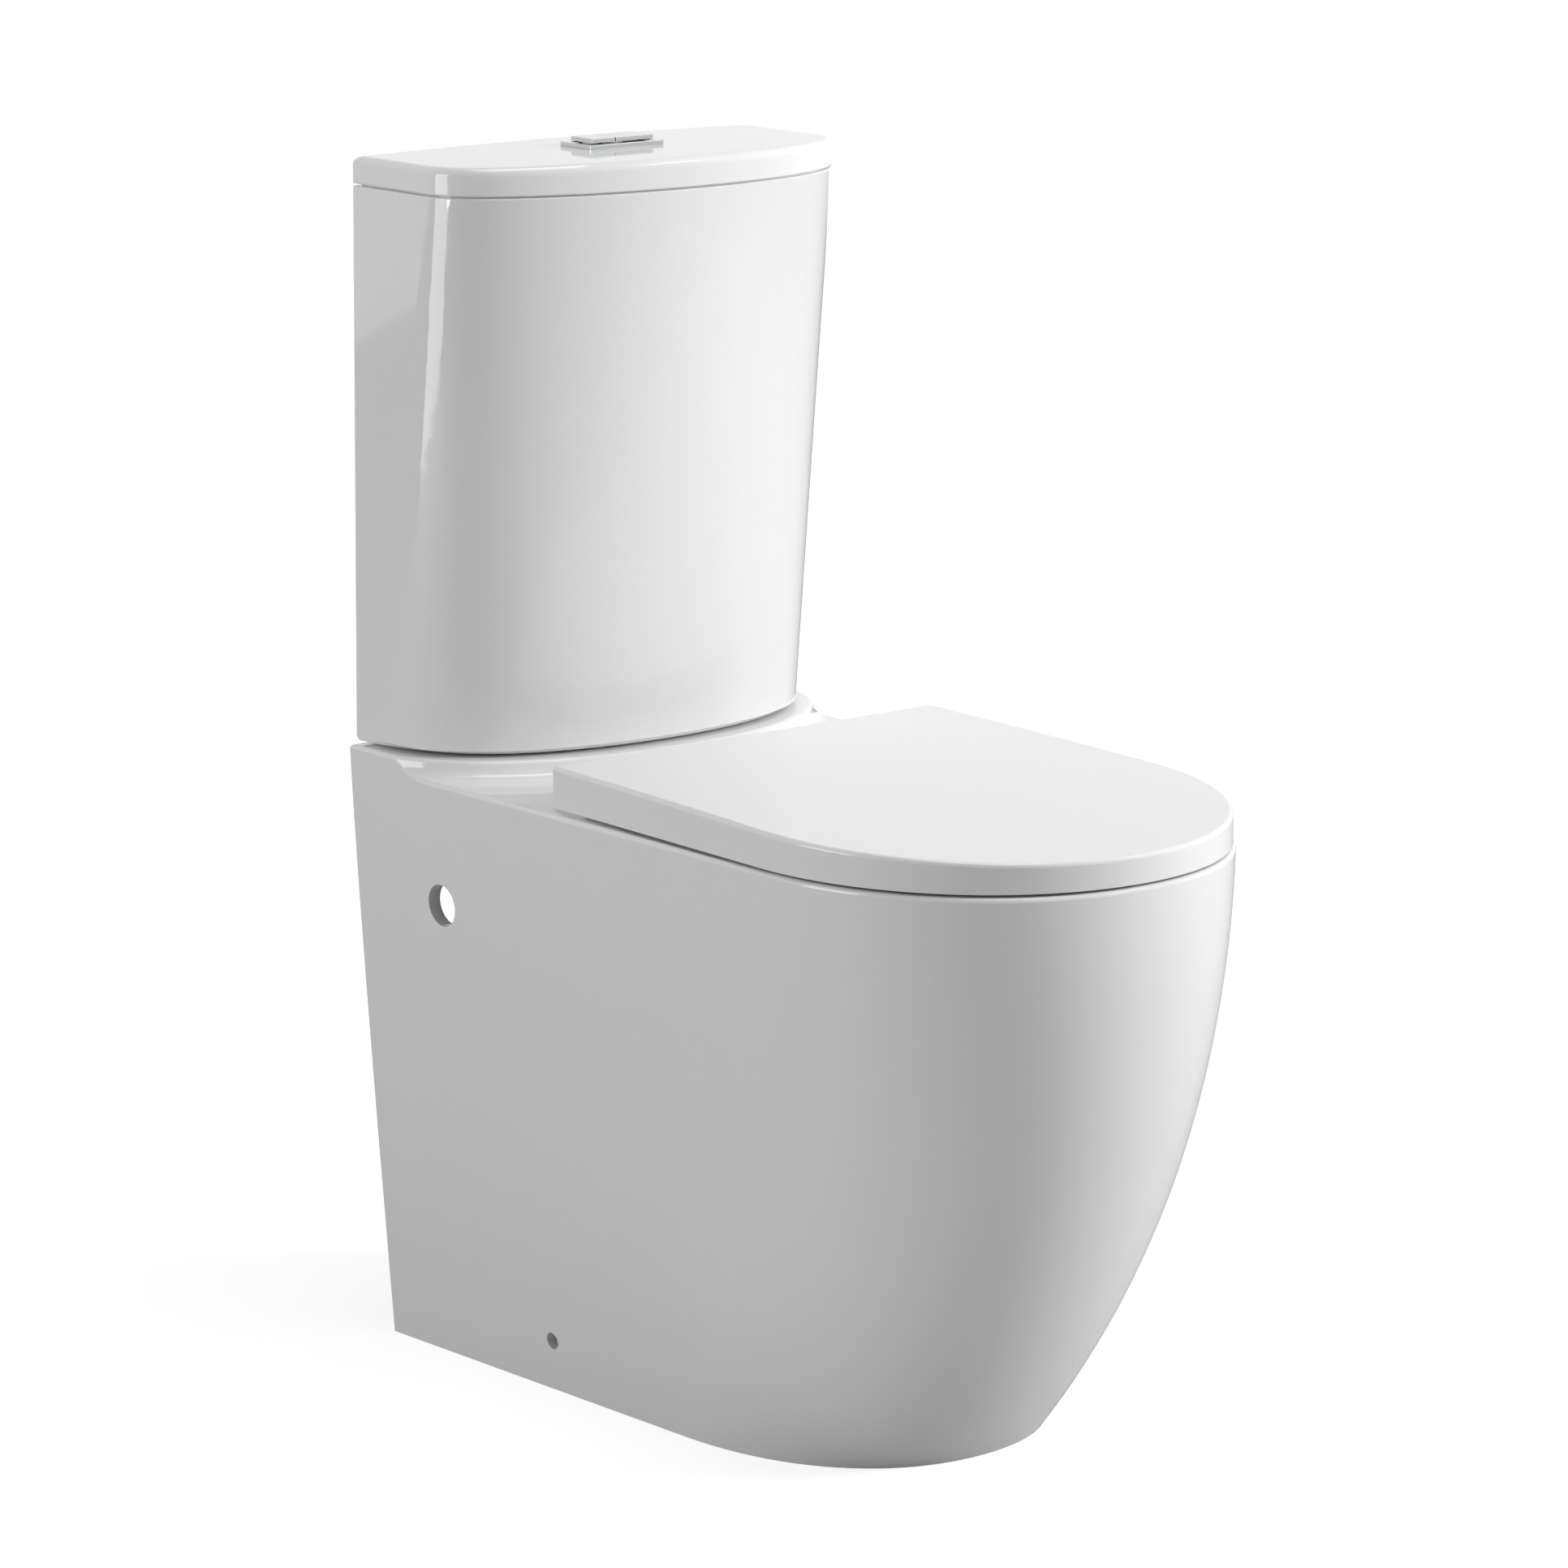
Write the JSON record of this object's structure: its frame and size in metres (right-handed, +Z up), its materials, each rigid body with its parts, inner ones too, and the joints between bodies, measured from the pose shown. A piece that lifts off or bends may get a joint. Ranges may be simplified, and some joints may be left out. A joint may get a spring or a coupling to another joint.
{
  "type": "toilet suite",
  "caption": "Floor-standing close-coupled toilet with a skirted back-to-wall pan, dual-flush cistern and slim soft-close seat.",
  "frame": {"origin": "on the floor, at the wall plane, on the centre line", "axes": "+Z up, -Y out of the wall towards the user, +X to the left of someone who sits on it"},
  "size_m": [0.3651, 0.6336, 0.8568],
  "materials": {
    "china": "gloss",
    "seat_plastic": "gloss",
    "chrome": "polished",
    "valve_plastic": "satin",
    "float_plastic": "satin",
    "rubber": "matte",
    "steel": "satin"
  },
  "bodies": {
    "root": {"pan": "china", "cistern_body": "china", "hinge_posts": "chrome", "hinge_pins": "chrome", "hinge_bolts": "steel", "hinge_bushes": "rubber", "hinge_nuts": "valve_plastic", "flush_valve_base": "valve_plastic", "flush_valve_washer": "rubber", "flush_valve_nut": "valve_plastic", "close_coupling_seal": "rubber", "flush_valve_tower": "valve_plastic", "flush_valve_head": "valve_plastic", "lever_pins": "steel", "fill_valve_body": "valve_plastic", "fill_valve_washer": "rubber", "fill_valve_nut": "valve_plastic", "fill_valve_head": "valve_plastic", "float_lever_pin": "steel", "tie_bolts": "steel", "tie_rubber_washers": "rubber", "tie_steel_washers": "steel", "tie_wing_nuts": "valve_plastic"},
    "seat_ring": {"seat_ring": "seat_plastic", "ring_buffers": "rubber"},
    "seat_lid": {"seat_lid": "seat_plastic", "lid_buffers": "rubber"},
    "cistern_lid": {"cistern_lid": "china", "button_housing": "chrome", "button_nut": "valve_plastic", "full_button_spring": "steel", "half_button_spring": "steel"},
    "full_flush_button": {"full_flush_button": "chrome", "full_push_rod": "valve_plastic"},
    "half_flush_button": {"half_flush_button": "chrome", "half_push_rod": "valve_plastic"},
    "full_lift_lever": {"full_lift_lever": "valve_plastic"},
    "half_lift_lever": {"half_lift_lever": "valve_plastic"},
    "overflow_tube": {"overflow_tube": "valve_plastic", "flush_seal": "rubber", "full_flush_float": "float_plastic"},
    "half_flush_link": {"half_flush_link": "valve_plastic", "half_flush_float": "float_plastic"},
    "float_cup": {"float_cup": "float_plastic", "float_rod": "steel"},
    "float_lever": {"float_lever": "valve_plastic"}
  },
  "joints": [
    {"name": "seat_ring_hinge", "type": "hinge", "parent": "root", "child": "seat_ring", "pos_m": [0, -0.227, 0.441], "axis": [-1, 0, 0], "range_deg": [0, 95]},
    {"name": "seat_lid_hinge", "type": "hinge", "parent": "seat_ring", "child": "seat_lid", "pos_m": [0, -0.227, 0.441], "axis": [1, 0, 0], "range_deg": [-95, 0]},
    {"name": "cistern_lid_lift", "type": "slide", "parent": "root", "child": "cistern_lid", "axis": [0, 0, 1], "range_m": [0, 0.12]},
    {"name": "full_button_press", "type": "slide", "parent": "cistern_lid", "child": "full_flush_button", "axis": [0, 0, -1], "range_m": [0, 0.003], "stiffness_N_per_m": 600, "springref_m": -0.004, "deforming": ["full_button_spring"]},
    {"name": "half_button_press", "type": "slide", "parent": "cistern_lid", "child": "half_flush_button", "axis": [0, 0, -1], "range_m": [0, 0.003], "stiffness_N_per_m": 600, "springref_m": -0.004, "deforming": ["half_button_spring"]},
    {"name": "full_lever_swing", "type": "hinge", "parent": "root", "child": "full_lift_lever", "pos_m": [0.021, -0.068, 0.757], "axis": [0, -1, 0], "range_deg": [0, 14.71]},
    {"name": "half_lever_swing", "type": "hinge", "parent": "root", "child": "half_lift_lever", "pos_m": [-0.021, -0.068, 0.757], "axis": [0, 1, 0], "range_deg": [0, 14.71]},
    {"name": "overflow_tube_lift", "type": "slide", "parent": "root", "child": "overflow_tube", "axis": [0, 0, 1], "range_m": [0, 0.0036]},
    {"name": "half_link_lift", "type": "slide", "parent": "root", "child": "half_flush_link", "axis": [0, 0, 1], "range_m": [0, 0.0036]},
    {"name": "float_rise", "type": "slide", "parent": "root", "child": "float_cup", "axis": [0, 0, 1], "range_m": [0, 0.018]},
    {"name": "float_lever_swing", "type": "hinge", "parent": "root", "child": "float_lever", "pos_m": [0.12, -0.056, 0.6945], "axis": [0, 1, 0], "range_deg": [0, 30.42]}
  ],
  "couplings": [
    {"joint": "full_lever_swing", "follows": "full_button_press", "rad_per_m": 85},
    {"joint": "overflow_tube_lift", "follows": "full_button_press", "ratio": 1.15},
    {"joint": "half_lever_swing", "follows": "half_button_press", "rad_per_m": 85},
    {"joint": "half_link_lift", "follows": "half_button_press", "ratio": 1.15},
    {"joint": "float_lever_swing", "follows": "float_rise", "rad_per_m": 29.4}
  ]
}
